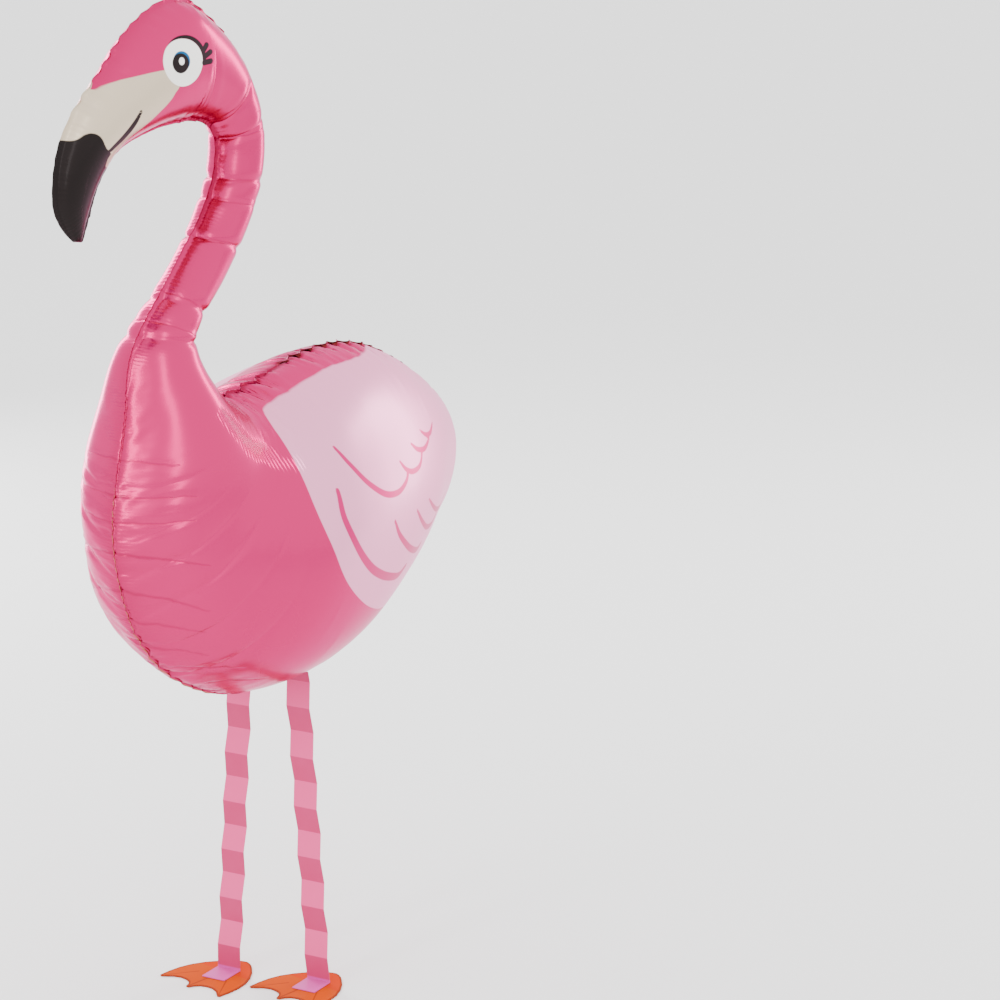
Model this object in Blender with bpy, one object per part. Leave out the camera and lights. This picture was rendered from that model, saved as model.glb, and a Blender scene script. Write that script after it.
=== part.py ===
"""A flamingo walking balloon of metallic film, standing on two folded strip legs and flat webbed card feet.

The balloon is lofted through ribs that run across its profile, from the outer edge (nape, back) to the
inner edge (throat, belly). Rib ends and half depths are shares of the balloon's own height.
The bird faces -X, its left side is -Y, the floor is Z = 0.
"""

import math

import bpy
import numpy as np
from mathutils import Vector
from mathutils.bvhtree import BVHTree

# Driving sizes in metres
BALLOON_HEIGHT = 0.689
BELLY_CLEARANCE = 0.317
SEAM_WIDTH = 0.0055
SEAM_THICKNESS = 0.0008
RIB_SPACING = 0.0135
KINK_REACH = 0.0045
LEG_STRIP_WIDTH = 0.027
LEG_STRIP_THICKNESS = 0.0008
LEG_FOLD_DEPTH = 0.0045
LEG_FOLD_PITCH = 0.0264
LEG_SPACING_AT_BELLY = 0.052
LEG_SPACING_AT_FLOOR = 0.096
LEG_PLACE_X = -0.0375
RIGHT_STEP_AHEAD = 0.025
FOOT_LENGTH = 0.086
FOOT_WIDTH = 0.088
FOOT_THICKNESS = 0.0012
FOOT_HEEL_LENGTH = 0.026
FOOT_TAB_LENGTH = 0.030
TOUCH_GAP = 0.0003

# Turns about the vertical, in degrees towards the bird's right
HEAD_TURN = 3.5
STRIP_TURN = -4.0
FOOT_TURN = 8.0

# Ribs from the beak tip to the root of the tail's fork, as shares of the balloon's height:
# outer x, outer z, inner x, inner z, half depth. Belly seam at z 0.
RIBS = (
    (-0.437, 0.703, -0.421, 0.699, 0.005),
    (-0.462, 0.733, -0.411, 0.728, 0.013),
    (-0.468, 0.764, -0.401, 0.759, 0.019),
    (-0.447, 0.844, -0.356, 0.812, 0.030),
    (-0.373, 0.921, -0.283, 0.836, 0.044),
    (-0.328, 0.962, -0.249, 0.842, 0.051),
    (-0.275, 0.990, -0.223, 0.844, 0.053),
    (-0.219, 1.000, -0.204, 0.842, 0.051),
    (-0.164, 0.972, -0.188, 0.838, 0.048),
    (-0.121, 0.937, -0.172, 0.830, 0.045),
    (-0.085, 0.893, -0.160, 0.818, 0.041),
    (-0.065, 0.844, -0.154, 0.804, 0.040),
    (-0.059, 0.794, -0.154, 0.791, 0.040),
    (-0.067, 0.743, -0.162, 0.755, 0.040),
    (-0.095, 0.686, -0.192, 0.706, 0.040),
    (-0.148, 0.611, -0.241, 0.656, 0.038),
    (-0.208, 0.545, -0.312, 0.569, 0.050),
    (-0.200, 0.482, -0.364, 0.455, 0.090),
    (-0.180, 0.459, -0.391, 0.370, 0.112),
    (-0.156, 0.449, -0.401, 0.291, 0.124),
    (-0.134, 0.447, -0.387, 0.215, 0.134),
    (-0.109, 0.449, -0.358, 0.146, 0.156),
    (-0.073, 0.457, -0.306, 0.083, 0.180),
    (-0.032, 0.466, -0.239, 0.038, 0.200),
    (0.018, 0.476, -0.156, 0.006, 0.199),
    (0.073, 0.480, -0.069, 0.000, 0.189),
    (0.136, 0.476, 0.014, 0.012, 0.174),
    (0.204, 0.459, 0.091, 0.040, 0.152),
    (0.269, 0.429, 0.168, 0.075, 0.125),
    (0.328, 0.395, 0.241, 0.113, 0.093),
    (0.381, 0.354, 0.306, 0.142, 0.064),
    (0.415, 0.334, 0.340, 0.150, 0.045),
    (0.439, 0.306, 0.366, 0.147, 0.028),
)
FORK_NOTCH = (0.386, 0.221)
UPPER_PRONG = (
    (0.450, 0.286, 0.402, 0.230, 0.019),
    (0.459, 0.262, 0.417, 0.225, 0.016),
    (0.466, 0.240, 0.434, 0.215, 0.011),
    (0.470, 0.219, 0.450, 0.206, 0.006),
    (0.469, 0.208, 0.460, 0.203, 0.003),
)
LOWER_PRONG = (
    (0.390, 0.207, 0.379, 0.143, 0.015),
    (0.399, 0.192, 0.390, 0.141, 0.012),
    (0.409, 0.176, 0.398, 0.139, 0.009),
    (0.416, 0.159, 0.406, 0.138, 0.006),
    (0.418, 0.147, 0.412, 0.138, 0.003),
)
FORK_LOBE_DEPTH = (0.021, 0.017)
FORK_BLEND = 0.050

# Transverse kinks: place along RIBS, depth as a share of the balloon's height, and how far across the
# rib the kink reaches from the inner edge
KINKS = (
    (7.1, 0.0030, 0.3),
    (9.7, 0.0035, 0.6),
    (11.1, 0.0040, 0.7),
    (13.0, 0.0040, 0.6),
    (13.5, 0.0030, 0.6),
    (14.5, 0.0035, 0.7),
    (15.6, 0.0050, 1.0),
    (16.1, 0.0060, 1.0),
    (18.2, 0.0040, 0.25),
    (19.0, 0.0040, 0.25),
    (19.7, 0.0050, 0.30),
    (20.5, 0.0050, 0.35),
    (21.4, 0.0040, 0.30),
    (22.3, 0.0040, 0.25),
)
KINK_FADE = 0.2
KINK_CLEAR_REACHES = 1.6
CURVE_STEPS = 40
BODY_COLUMNS = 13
SEAM_LIMIT = 0.35
SHADE_ANGLE = 50.0
TURN_FROM_RIB = 15.5
TURN_FULL_RIB = 10.0
TURN_AXIS = -0.12

# The shortest last fold of a strip as a share of the pitch
SHORTEST_FOLD = 0.3

FILM_PINK = (0.71, 0.145, 0.30)
STRIP_PINK = (0.68, 0.20, 0.34)
CARD_ORANGE = (0.78, 0.18, 0.03)


def clear_scene():
    """Empties the scene."""
    for found in list(bpy.data.objects):
        bpy.data.objects.remove(found, do_unlink=True)


def paint(name, colour, metallic, roughness):
    """A plain finish for one piece."""
    material = bpy.data.materials.new(name)
    material.use_nodes = True
    shader = material.node_tree.nodes["Principled BSDF"]
    shader.inputs["Base Color"].default_value = (*colour, 1.0)
    shader.inputs["Metallic"].default_value = metallic
    shader.inputs["Roughness"].default_value = roughness
    return material


def add_piece(name, points, faces, material, smooth_angle=None):
    """One named object from points and faces."""
    mesh = bpy.data.meshes.new(name)
    mesh.from_pydata([tuple(p) for p in points], [], faces)
    mesh.materials.append(material)
    if smooth_angle:
        mesh.shade_smooth()
        mesh.set_sharp_from_angle(angle=smooth_angle)
    piece = bpy.data.objects.new(name, mesh)
    bpy.context.scene.collection.objects.link(piece)
    return piece


def smooth_step(value):
    """Eases 0 to 1 with level ends."""
    value = np.clip(value, 0.0, 1.0)
    return value * value * (3 - 2 * value)


def through(rows, places):
    """A smooth curve through rows, read at the given places, where place 2.5 is midway from row 2 to row 3."""
    rows = np.asarray(rows, float)
    steps = np.sqrt(np.linalg.norm(np.diff(rows[:, :4], axis=0), axis=1))
    slopes = np.empty_like(rows)
    before = (rows[1:-1] - rows[:-2]) / steps[:-1, None]
    after = (rows[2:] - rows[1:-1]) / steps[1:, None]
    share = (steps[:-1] / (steps[:-1] + steps[1:]))[:, None]
    slopes[1:-1] = before * (1 - share) + after * share
    slopes[0] = (rows[1] - rows[0]) / steps[0]
    slopes[-1] = (rows[-1] - rows[-2]) / steps[-1]
    places = np.asarray(places, float)
    low = np.clip(places.astype(int), 0, len(rows) - 2)
    t = (places - low)[:, None]
    span = steps[low][:, None]
    return (
        (2 * t**3 - 3 * t**2 + 1) * rows[low]
        + (t**3 - 2 * t**2 + t) * span * slopes[low]
        + (3 * t**2 - 2 * t**3) * rows[low + 1]
        + (t**3 - t**2) * span * slopes[low + 1]
    )


def edge_length(rows, places):
    """Running length along whichever edge of the profile is longer, at the given places."""
    curve = through(rows, places)
    outer = np.linalg.norm(np.diff(curve[:, 0:2], axis=0), axis=1)
    inner = np.linalg.norm(np.diff(curve[:, 2:4], axis=0), axis=1)
    return np.concatenate([[0.0], np.cumsum(np.maximum(outer, inner))])


def rib_places(rows):
    """Places along the profile: evenly spaced, with three close ribs at each kink."""
    fine = np.linspace(0, len(rows) - 1, CURVE_STEPS * len(rows))
    length = edge_length(rows, fine)
    count = round(length[-1] / RIB_SPACING)
    even = np.linspace(0, length[-1], count + 1)
    kinks = np.interp([kink[0] for kink in KINKS], fine, length)
    clear = np.abs(even[:, None] - kinks[None, :]).min(axis=1) > KINK_CLEAR_REACHES * KINK_REACH
    clear[[0, -1]] = True
    near = np.concatenate([kinks - KINK_REACH, kinks, kinks + KINK_REACH])
    chosen = np.sort(np.concatenate([even[clear], near]))
    return np.interp(chosen, length, fine), chosen, kinks


def half_section(outer, inner, depth, columns):
    """One side of an inflated section, from the outer seam edge to the inner seam edge, as (x, y, z) points."""
    middle = (outer + inner) / 2
    reach = np.linalg.norm(outer - inner) / 2
    along = (outer - inner) / max(2 * reach, 1e-9)
    seam = min(SEAM_WIDTH, SEAM_LIMIT * reach)
    film = reach - seam
    root = math.asin(min(0.9, 0.5 * SEAM_THICKNESS / max(depth, SEAM_THICKNESS)))
    angles = np.linspace(root, math.pi - root, columns)
    offsets = np.concatenate([[reach], film * np.cos(angles), [-reach]])
    heights = np.concatenate([[0.5 * SEAM_THICKNESS], depth * np.sin(angles), [0.5 * SEAM_THICKNESS]])
    flat = middle[None, :] + offsets[:, None] * along[None, :]
    return np.stack([flat[:, 0], -heights, flat[:, 1]], axis=1)


def forked_section(row, notch, depths):
    """One side of the section at the root of the fork: two lobes that meet in the notch."""
    lobe_columns = (BODY_COLUMNS - 1) // 2
    upper = half_section(row[0:2], notch, depths[0], lobe_columns)
    lower = half_section(notch, row[2:4], depths[1], lobe_columns)
    return np.concatenate([upper, lower[1:]])


def pinch(section, row, place_on_edge, kinks):
    """Draws a section in towards its rib's middle line where a kink crosses it."""
    centre = np.array([(row[0] + row[2]) / 2, 0.0, (row[1] + row[3]) / 2])
    across = np.linspace(1.0, 0.0, len(section))
    for kink_at, (_, depth, reach) in zip(kinks, KINKS):
        nearness = 1 - abs(place_on_edge - kink_at) / KINK_REACH
        if nearness <= 0:
            continue
        hold = smooth_step((reach - across) / KINK_FADE + 1) if reach < 1 else np.ones(len(section))
        hold[[0, -1]] = 0.0
        size = np.linalg.norm(section - centre, axis=1)
        pull = nearness * depth * BALLOON_HEIGHT * hold / np.maximum(size, 1e-6)
        section = section + (centre - section) * pull[:, None]
        section[:, 1] = np.minimum(section[:, 1], -0.5 * SEAM_THICKNESS)
    return section


def turn_about(points, angle, axis_x):
    """Turns points about the vertical line at (axis_x, 0)."""
    cos, sin = math.cos(angle), math.sin(angle)
    x = points[:, 0] - axis_x
    return np.stack([axis_x + x * cos - points[:, 1] * sin, x * sin + points[:, 1] * cos, points[:, 2]], axis=1)


def balloon_rows():
    """The ribs, notch and tail prongs at real size."""
    rows = np.array(RIBS) * BALLOON_HEIGHT
    prongs = np.array((UPPER_PRONG, LOWER_PRONG)) * BALLOON_HEIGHT
    rows[:, (1, 3)] += BELLY_CLEARANCE
    prongs[:, :, (1, 3)] += BELLY_CLEARANCE
    notch = np.array(FORK_NOTCH) * BALLOON_HEIGHT + (0.0, BELLY_CLEARANCE)
    return rows, notch, prongs


def both_sides(section, turn):
    """The section's left side and its mirror image, turned with the head."""
    left = turn_about(section, turn, TURN_AXIS * BALLOON_HEIGHT)
    right = turn_about(section * (1, -1, 1), turn, TURN_AXIS * BALLOON_HEIGHT)
    return left, right


def bridge(faces, first, second):
    """Quads from one ring of point numbers to the next."""
    count = len(first)
    for i in range(count):
        j = (i + 1) % count
        faces.append((first[i], first[j], second[j], second[i]))


def ring_of(left, right):
    """Point numbers round a section: down the left side, back up the right."""
    return list(left) + list(reversed(right))


def cap(faces, left, right, at_start):
    """Closes a section with quads from its left side to its right side."""
    for i in range(len(left) - 1):
        quad = (left[i], right[i], right[i + 1], left[i + 1])
        faces.append(quad if at_start else tuple(reversed(quad)))


def make_balloon(material):
    """The whole inflated film body with its flat seam edge, beak to forked tail."""
    rows, notch, prongs = balloon_rows()
    places, lengths, kinks = rib_places(rows)
    curve = through(rows, places)
    fork_depths = np.array(FORK_LOBE_DEPTH) * BALLOON_HEIGHT
    forked = forked_section(curve[-1], notch, fork_depths)
    points = []
    faces = []

    def add_section(section, turn=0.0):
        left, right = both_sides(section, turn)
        start = len(points)
        points.extend(left)
        points.extend(right)
        count = len(section)
        return list(range(start, start + count)), list(range(start + count, start + 2 * count))

    previous = None
    for place, length, row in zip(places, lengths, curve):
        section = half_section(row[0:2], row[2:4], row[4], BODY_COLUMNS)
        section = pinch(section, row, length, kinks)
        towards_fork = float(np.clip(1 - (lengths[-1] - length) / FORK_BLEND, 0, 1)) ** 2
        shift = (row[0:2] + row[2:4] - curve[-1][0:2] - curve[-1][2:4]) / 2
        section = section * (1 - towards_fork) + (forked + (shift[0], 0.0, shift[1])) * towards_fork
        turn = -math.radians(HEAD_TURN) * float(
            smooth_step((TURN_FROM_RIB - place) / (TURN_FROM_RIB - TURN_FULL_RIB))
        )
        left, right = add_section(section, turn)
        if previous is None:
            cap(faces, left, right, at_start=True)
        else:
            bridge(faces, ring_of(*previous), ring_of(left, right))
        previous = (left, right)

    lobe_columns = (BODY_COLUMNS - 1) // 2
    middle = lobe_columns + 1
    for prong, part in zip(prongs, (slice(0, middle + 1), slice(middle, None))):
        last = (previous[0][part], previous[1][part])
        for row in prong:
            left, right = add_section(half_section(row[0:2], row[2:4], row[4], lobe_columns))
            bridge(faces, ring_of(*last), ring_of(left, right))
            last = (left, right)
        cap(faces, *last, at_start=False)
    return add_piece("balloon", points, faces, material, smooth_angle=math.radians(SHADE_ANGLE))


def underside_height(tree, x, y):
    """Height of the balloon's underside straight above a point on the floor."""
    hit = tree.ray_cast(Vector((x, y, 0.0)), Vector((0.0, 0.0, 1.0)))
    return hit[0].z


def leg_axis(side):
    """Where one leg stands seen from above: its X, then its Y at the belly and at the floor."""
    return (
        LEG_PLACE_X - side * RIGHT_STEP_AHEAD / 2,
        side * LEG_SPACING_AT_BELLY / 2,
        side * LEG_SPACING_AT_FLOOR / 2,
    )


def turned(x, y, degrees):
    """A step seen from above, turned towards the bird's right."""
    angle = -math.radians(degrees)
    cos, sin = math.cos(angle), math.sin(angle)
    return x * cos - y * sin, x * sin + y * cos


def offset_line(line, distance):
    """A folded line moved sideways by a distance, with mitred folds."""
    moved = []
    for i, point in enumerate(line):
        before = (point - line[i - 1]).normalized() if i else None
        after = (line[i + 1] - point).normalized() if i < len(line) - 1 else None
        before = before or after
        after = after or before
        first = Vector((-before.y, before.x))
        second = Vector((-after.y, after.x))
        mitre = (first + second).normalized()
        moved.append(point + mitre * distance / mitre.dot(first))
    return moved


def make_leg(name, side, tree, material):
    """An accordion-folded strip from the belly down to a crease, and a tab lying forward on the foot."""
    leg_x, top_y, floor_y = leg_axis(side)
    ankle_z = FOOT_THICKNESS + TOUCH_GAP + LEG_STRIP_THICKNESS / 2
    half = LEG_STRIP_WIDTH / 2
    heights = []
    for step in range(-2, 3):
        for fore in (-1, 1):
            x, y = turned(fore * LEG_FOLD_DEPTH / 2, step * half / 2, STRIP_TURN)
            heights.append((step / 2, underside_height(tree, leg_x + x, top_y + y)))
    ends = [min(z for step, z in heights if step == end) for end in (-1, 1)]
    sag = max((ends[0] + ends[1]) / 2 + step * (ends[1] - ends[0]) / 2 - z for step, z in heights)
    middle_z = (ends[0] + ends[1]) / 2 - max(sag, 0.0) - TOUCH_GAP
    lean = (ends[1] - ends[0]) / 2

    line = [Vector((-FOOT_TAB_LENGTH, ankle_z)), Vector((0.0, ankle_z))]
    folds = int((middle_z - ankle_z) / LEG_FOLD_PITCH - SHORTEST_FOLD)
    for fold in range(1, folds + 1):
        forward = LEG_FOLD_DEPTH / 2 * (-1 if fold % 2 else 1)
        line.append(Vector((forward, ankle_z + fold * LEG_FOLD_PITCH)))
    line.append(Vector((0.0, middle_z)))

    points = []
    for across in (-half, half):
        for sideways in (LEG_STRIP_THICKNESS / 2, -LEG_STRIP_THICKNESS / 2):
            for i, spot in enumerate(offset_line(line, sideways)):
                share = max(0.0, (line[i].y - ankle_z) / (middle_z - ankle_z))
                axis_y = floor_y + (top_y - floor_y) * share
                z = middle_z + lean * across / half if i == len(line) - 1 else spot.y
                x, y = turned(spot.x, across, STRIP_TURN)
                points.append((leg_x + x, axis_y + y, z))
    count = len(line)
    rings = [(i, i + count, i + 3 * count, i + 2 * count) for i in range(count)]
    faces = [tuple(reversed(rings[0]))]
    for first, second in zip(rings, rings[1:]):
        bridge(faces, first, second)
    faces.append(rings[-1])
    return add_piece(name, points, faces, material)


def foot_outline():
    """The webbed foot seen from above, heel at the origin, toes towards -X, as shares of length and half width."""
    side = (
        (0.00, 0.00),
        (0.015, 0.11),
        (0.05, 0.24),
        (0.11, 0.38),
        (0.20, 0.56),
        (0.33, 0.75),
        (0.48, 0.90),
        (0.64, 0.98),
        (0.81, 1.00),
        (0.96, 0.985),
        (0.97, 0.93),
        (0.93, 0.82),
        (0.88, 0.70),
        (0.845, 0.52),
        (0.85, 0.34),
        (0.88, 0.19),
        (0.93, 0.10),
        (1.00, 0.04),
    )
    mirrored = [(along, -across) for along, across in reversed(side[1:])]
    return list(side) + mirrored


def make_foot(name, side, material):
    """A flat webbed card with three toes."""
    leg_x, _, floor_y = leg_axis(side)
    points = []
    for z in (0.0, FOOT_THICKNESS):
        for along, across in foot_outline():
            x, y = turned(FOOT_HEEL_LENGTH - along * FOOT_LENGTH, across * FOOT_WIDTH / 2, FOOT_TURN)
            points.append((leg_x + x, floor_y + y, z))
    count = len(points) // 2
    faces = [tuple(range(count - 1, -1, -1)), tuple(range(count, 2 * count))]
    for i in range(count):
        j = (i + 1) % count
        faces.append((i, j, j + count, i + count))
    return add_piece(name, points, faces, material)


def stand_over_origin(pieces):
    """Slides every piece along X and Y so that the origin is under the middle of the whole bird."""
    corners = np.array([vertex.co[:] for piece in pieces for vertex in piece.data.vertices])
    middle = (corners.min(axis=0) + corners.max(axis=0)) / 2
    for piece in pieces:
        for vertex in piece.data.vertices:
            vertex.co.x -= middle[0]
            vertex.co.y -= middle[1]


def main():
    clear_scene()
    film = paint("film_pink", FILM_PINK, 0.8, 0.25)
    strip = paint("strip_pink", STRIP_PINK, 0.0, 0.5)
    card = paint("card_orange", CARD_ORANGE, 0.0, 0.5)
    balloon = make_balloon(film)
    tree = BVHTree.FromPolygons(
        [vertex.co.copy() for vertex in balloon.data.vertices],
        [tuple(face.vertices) for face in balloon.data.polygons],
    )
    pieces = [balloon]
    for name, side in (("left", -1), ("right", 1)):
        pieces.append(make_leg(name + "_leg", side, tree, strip))
        pieces.append(make_foot(name + "_foot", side, card))
    stand_over_origin(pieces)


main()
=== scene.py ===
"""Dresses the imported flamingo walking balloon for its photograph.

The film body is a finer copy of the balloon's solid. It is creased, puckered along its heat-sealed seam and
inflated a little as cloth. Its print is drawn by the material on the film's own flat print map.
The bird faces -X, its left side is -Y and the floor is Z = 0. Sizes are in metres.
"""

import math

import bpy
import numpy as np
from bpy.props import FloatProperty, FloatVectorProperty, PointerProperty
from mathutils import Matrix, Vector
from mathutils.kdtree import KDTree


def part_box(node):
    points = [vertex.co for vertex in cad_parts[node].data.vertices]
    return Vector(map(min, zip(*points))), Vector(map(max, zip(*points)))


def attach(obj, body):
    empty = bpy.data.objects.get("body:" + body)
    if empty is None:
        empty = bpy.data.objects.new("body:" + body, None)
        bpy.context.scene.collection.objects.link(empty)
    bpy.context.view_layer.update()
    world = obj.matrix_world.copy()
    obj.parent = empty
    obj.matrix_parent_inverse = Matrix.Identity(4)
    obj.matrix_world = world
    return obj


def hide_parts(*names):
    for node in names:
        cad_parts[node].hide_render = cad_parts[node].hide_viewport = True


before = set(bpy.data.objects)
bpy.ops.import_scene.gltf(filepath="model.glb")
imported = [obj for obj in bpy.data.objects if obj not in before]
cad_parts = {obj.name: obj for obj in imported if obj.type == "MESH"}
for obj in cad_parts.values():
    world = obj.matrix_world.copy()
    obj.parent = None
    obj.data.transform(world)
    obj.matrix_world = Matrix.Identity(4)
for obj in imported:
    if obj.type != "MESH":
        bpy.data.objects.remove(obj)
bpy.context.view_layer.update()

bl_info = {
    "name": "Flamingo walking balloon",
    "version": (1, 0, 0),
    "blender": (4, 5, 0),
    "location": "3D View > Sidebar > Flamingo",
    "description": "Builds the film body, strip legs, card feet and studio of a flamingo walking balloon",
    "category": "Object",
}

BODY = "root"

# The print is drawn in units of 1.36 mm, across from beak to tail and down from the crown
PRINT_UNIT = 0.0013618
PRINT_ACROSS_AT_ORIGIN = 711.0
PRINT_DOWN_AT_FLOOR = 865.0

# The head is turned about this upright line, above this height
HEAD_TURN = math.radians(3.5)
HEAD_AXIS_X = -0.083
HEAD_TURN_FROM_Z = 0.717
HEAD_TURN_FULL_Z = 0.895

# The head's middle line on the print: across, down, half width, and how far its film swells in mm
HEAD_LINE = (
    (494, 277, 8, 2.5), (490, 263, 14, 4.5), (491, 247, 18, 6.0), (508, 213, 24, 5.0), (545, 188, 31, 4.0),
    (565, 176, 36, 5.0), (585, 168, 39, 6.0), (604, 166, 40, 6.0), (622, 174, 35, 5.0), (637, 185, 30, 3.0),
    (649, 199, 27, 0.0),
)
HEAD_SWELL_ABOVE_Z = 0.80
# The neck's root leans forward around this height, and the tail's tips swing aside behind this X
NECK_LEAN = 0.010
NECK_ROOT_Z = 0.685
NECK_ROOT_REACH = 0.045
TAIL_SWING = 0.022
TAIL_SWING_FROM_X = 0.245
TAIL_SWING_OVER = 0.05

SEAM_WIDTH = 0.0055
SEAM_THICKNESS = 0.0008

# Waves of the sealed edge: wave length in metres, and height as a share of the pucker setting
PLAIN_WAVE = (0.012, 0.14)
BACK_WAVE = (0.020, 1.8)
CROWN_WAVE = (0.018, 0.8)
CHEST_WAVE = (0.010, 0.35)
BELLY_WAVE = (0.020, 1.6)
TAIL_WAVE = (0.010, 0.9)
BELLY_TOP_Z = 0.42
CHEST_TOP_Z = 0.66
BACK_TOP_Z = 0.68
CROWN_FROM_Z = 0.90

# The film is blown up for this many frames, and the broad part of its movement is found by averaging
CLOTH_FRAMES = 20
SMOOTHING_ROUNDS = 160

# The blown film keeps its wrinkles beside the seam, and this share of them on the smooth sides
WRINKLE_REACH = 0.050
WRINKLE_KEPT = 0.22

# Most places in the tables from here to EYE_DOWN were picked in the photo. A separate ray-casting script
# then carried them onto the film and printed them in print units.

# Sharp creases in the film: first end across and down, second end across and down, depth in mm, width in mm
NECK_CREASES = (
    (609, 200, 608, 160, 0.9, 3.0),
    (630, 207, 652, 183, 0.8, 2.5),
    (637, 224, 680, 216, 0.8, 2.5),
    (634, 252, 676, 256, 0.8, 2.5),
    (626, 265, 671, 277, 0.6, 2.5),
    (605, 288, 650, 304, 0.8, 2.5),
    (566, 317, 606, 345, 0.8, 3.0),
    (553, 337, 596, 357, 0.9, 3.5),
)
BACK_CREASES = (
    (597, 399, 592, 420, 0.9, 2.2),
    (616, 405, 616, 444, 1.3, 2.4),
    (625, 408, 632, 428, 1.1, 2.2),
    (636, 407, 648, 436, 1.2, 2.2),
    (657, 406, 663, 420, 0.7, 2.0),
    (712, 390, 716, 404, 1.0, 2.2),
    (736, 388, 746, 401, 1.0, 2.2),
)
CROWN_CREASES = (
    (546, 143, 556, 159, 1.3, 2.5),
    (560, 134, 573, 150, 1.2, 2.5),
    (525, 165, 537, 169, 0.8, 2.2),
)
CHEST_CREASES = (
    (515, 430, 533, 432, 1.6, 2.5),
    (508, 455, 538, 453, 2.0, 2.6),
    (507, 473, 536, 470, 1.6, 2.4),
    (508, 494, 545, 503, 2.6, 2.8),
    (514, 521, 548, 537, 2.2, 2.6),
    (524, 545, 552, 555, 1.6, 2.4),
    (536, 565, 562, 575, 1.8, 2.6),
    (556, 585, 590, 590, 1.4, 2.6),
    (586, 603, 618, 604, 1.2, 2.6),
)

# Fine upright wrinkles of the saddle lie inside this outline
HATCH_OUTLINE = (
    (567, 403), (570, 407), (575, 416), (581, 423), (588, 433), (600, 440), (609, 445), (615, 448),
    (622, 450), (632, 452), (634, 444), (621, 441), (617, 437), (609, 431), (597, 423), (592, 413),
    (584, 405), (577, 399),
)

WING_OUTLINE = (
    (643, 415), (636, 420), (631, 428), (628, 439), (625.5, 455), (625, 477), (630, 500),
    (640, 524), (657, 542), (681, 558), (703, 568), (722, 574), (751, 579), (778, 580), (805, 579),
    (816, 577), (838, 567), (870, 640), (990, 600), (990, 440), (900, 370), (830, 397), (805, 401),
    (779, 400), (750, 399.5), (725, 400), (697, 404), (672, 409), (657, 412),
)
# Feather strokes: half width in print units, then the points of the stroke
FEATHERS = (
    (2.4, (
        (663.5, 441), (668.5, 453), (680, 467.5), (700, 480), (720, 483.5), (735, 479.5), (743, 472),
    )),
    (2.1, (
        (732, 464), (739, 471), (750, 475), (764, 474), (773, 467),
    )),
    (2.0, (
        (757, 456.5), (766, 462.5), (780, 465), (794, 461),
    )),
    (1.8, (
        (780, 452), (789, 457), (800, 458), (811, 453.5),
    )),
    (3.3, (
        (647.5, 467), (646, 487), (657, 509.5), (676, 528), (698, 540), (720, 547.5), (735, 550), (747, 546),
    )),
    (2.6, (
        (711.5, 502.5), (721, 515.5), (740, 529), (758, 537), (771, 540), (779, 537),
    )),
    (2.2, (
        (752.5, 504.5), (766, 516), (784, 526), (802, 528.5), (814, 523.5),
    )),
    (2.0, (
        (781, 503.5), (795, 512.5), (811, 519.5), (830, 522), (848, 518),
    )),
)
# Faces within this many print units of a feather stroke are divided by this many cuts
FEATHER_REACH = 3.5
FEATHER_CUTS = 2
# The film may have no more triangles than this
MOST_TRIANGLES = 200000

BEAK_OUTLINE = (
    (440, 166), (513.7, 173), (512.6, 176.9), (510.1, 179.8), (512.9, 179.9), (516.5, 177.7),
    (521.2, 175.4), (526.8, 173.4), (532.8, 171.9), (539.1, 170.8), (546.2, 169.5), (553.6, 168.5),
    (558.4, 168), (570, 179), (566.4, 182.3), (563.5, 186.6), (559.1, 190.9), (554.5, 194.5),
    (549.3, 198.7), (544, 202.3), (539.4, 205.2), (534, 208), (527, 213), (518, 223), (508, 240),
    (500, 262), (440, 262),
)
BEAK_TIP_OUTLINE = (
    (440, 208), (484.2, 209.3), (486.5, 209.7), (488.2, 209.5), (490.8, 208.3), (493.1, 206.3),
    (495.3, 205.1), (497.9, 204.9), (500.7, 205.5), (502.9, 207), (504.8, 209.4), (506.3, 212.5),
    (508.1, 215.3), (511, 217), (513, 219), (510.5, 222), (509, 227), (530, 233), (540, 300),
    (440, 300),
)
SMILE_HALF_WIDTH = 2.2
SMILE = (
    (536.6, 192.8), (533.2, 198.3), (530.3, 202), (528.1, 204.5), (523.5, 208.6), (518.4, 212.2),
    (508, 218.5),
)

# The eye is drawn on its own small plane: its centre on the print and how that plane runs over the print
EYE_CENTRE = (575.1, 164.6)
EYE_ACROSS = (1.107, 0.224)
EYE_DOWN = (-0.093, 1.642)
# On that plane: centre and radii
EYE_WHITE = ((0.0, 0.0), (19.7, 24.0))
LASH_RIM = ((2.8, -1.8), (20.9, 25.6))
IRIS = ((-2.6, -1.6), (8.3, 10.2))
PUPIL = ((-3.7, 0.6), (8.2, 10.1))
GLINT = ((-2.9, -1.6), (2.7, 3.8))
LASH_RIM_DOWN_TO = 1.5
# Lashes: root, tip and half width
LASHES = (
    ((20.5, -12.0), (24.6, -17.5), 2.7),
    ((22.0, -6.0), (28.8, -10.4), 2.8),
    ((21.8, 0.0), (29.4, -1.2), 2.9),
)

# The card's print and a painted reflection of the leg at its heel, in metres from the heel along the foot
# and off its middle line
FOOT_TURN = math.radians(8.0)
LEG_REFLECTION_TO = 0.034
MIDDLE_RIB = ((0.040, 0.0), (0.085, 0.0))
SIDE_RIB = ((0.050, 0.020), (0.082, 0.041))

# Soft boxes: name, place, the point it looks at, size across and up, power in watts
LIGHTS = (
    ("key", (-2.5, -1.7, 2.0), (0.0, 0.0, 0.6), (0.6, 2.6), 20),
    ("chest_strip", (-2.9, 0.5, 1.3), (-0.2, 0.0, 0.6), (0.35, 2.4), 26),
    ("side_strip", (0.95, 2.3, 1.1), (-0.1, 0.0, 0.6), (0.6, 2.2), 64),
    ("wing_strip", (2.7, -0.75, 1.1), (0.1, 0.0, 0.5), (0.6, 2.2), 40),
)

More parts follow.
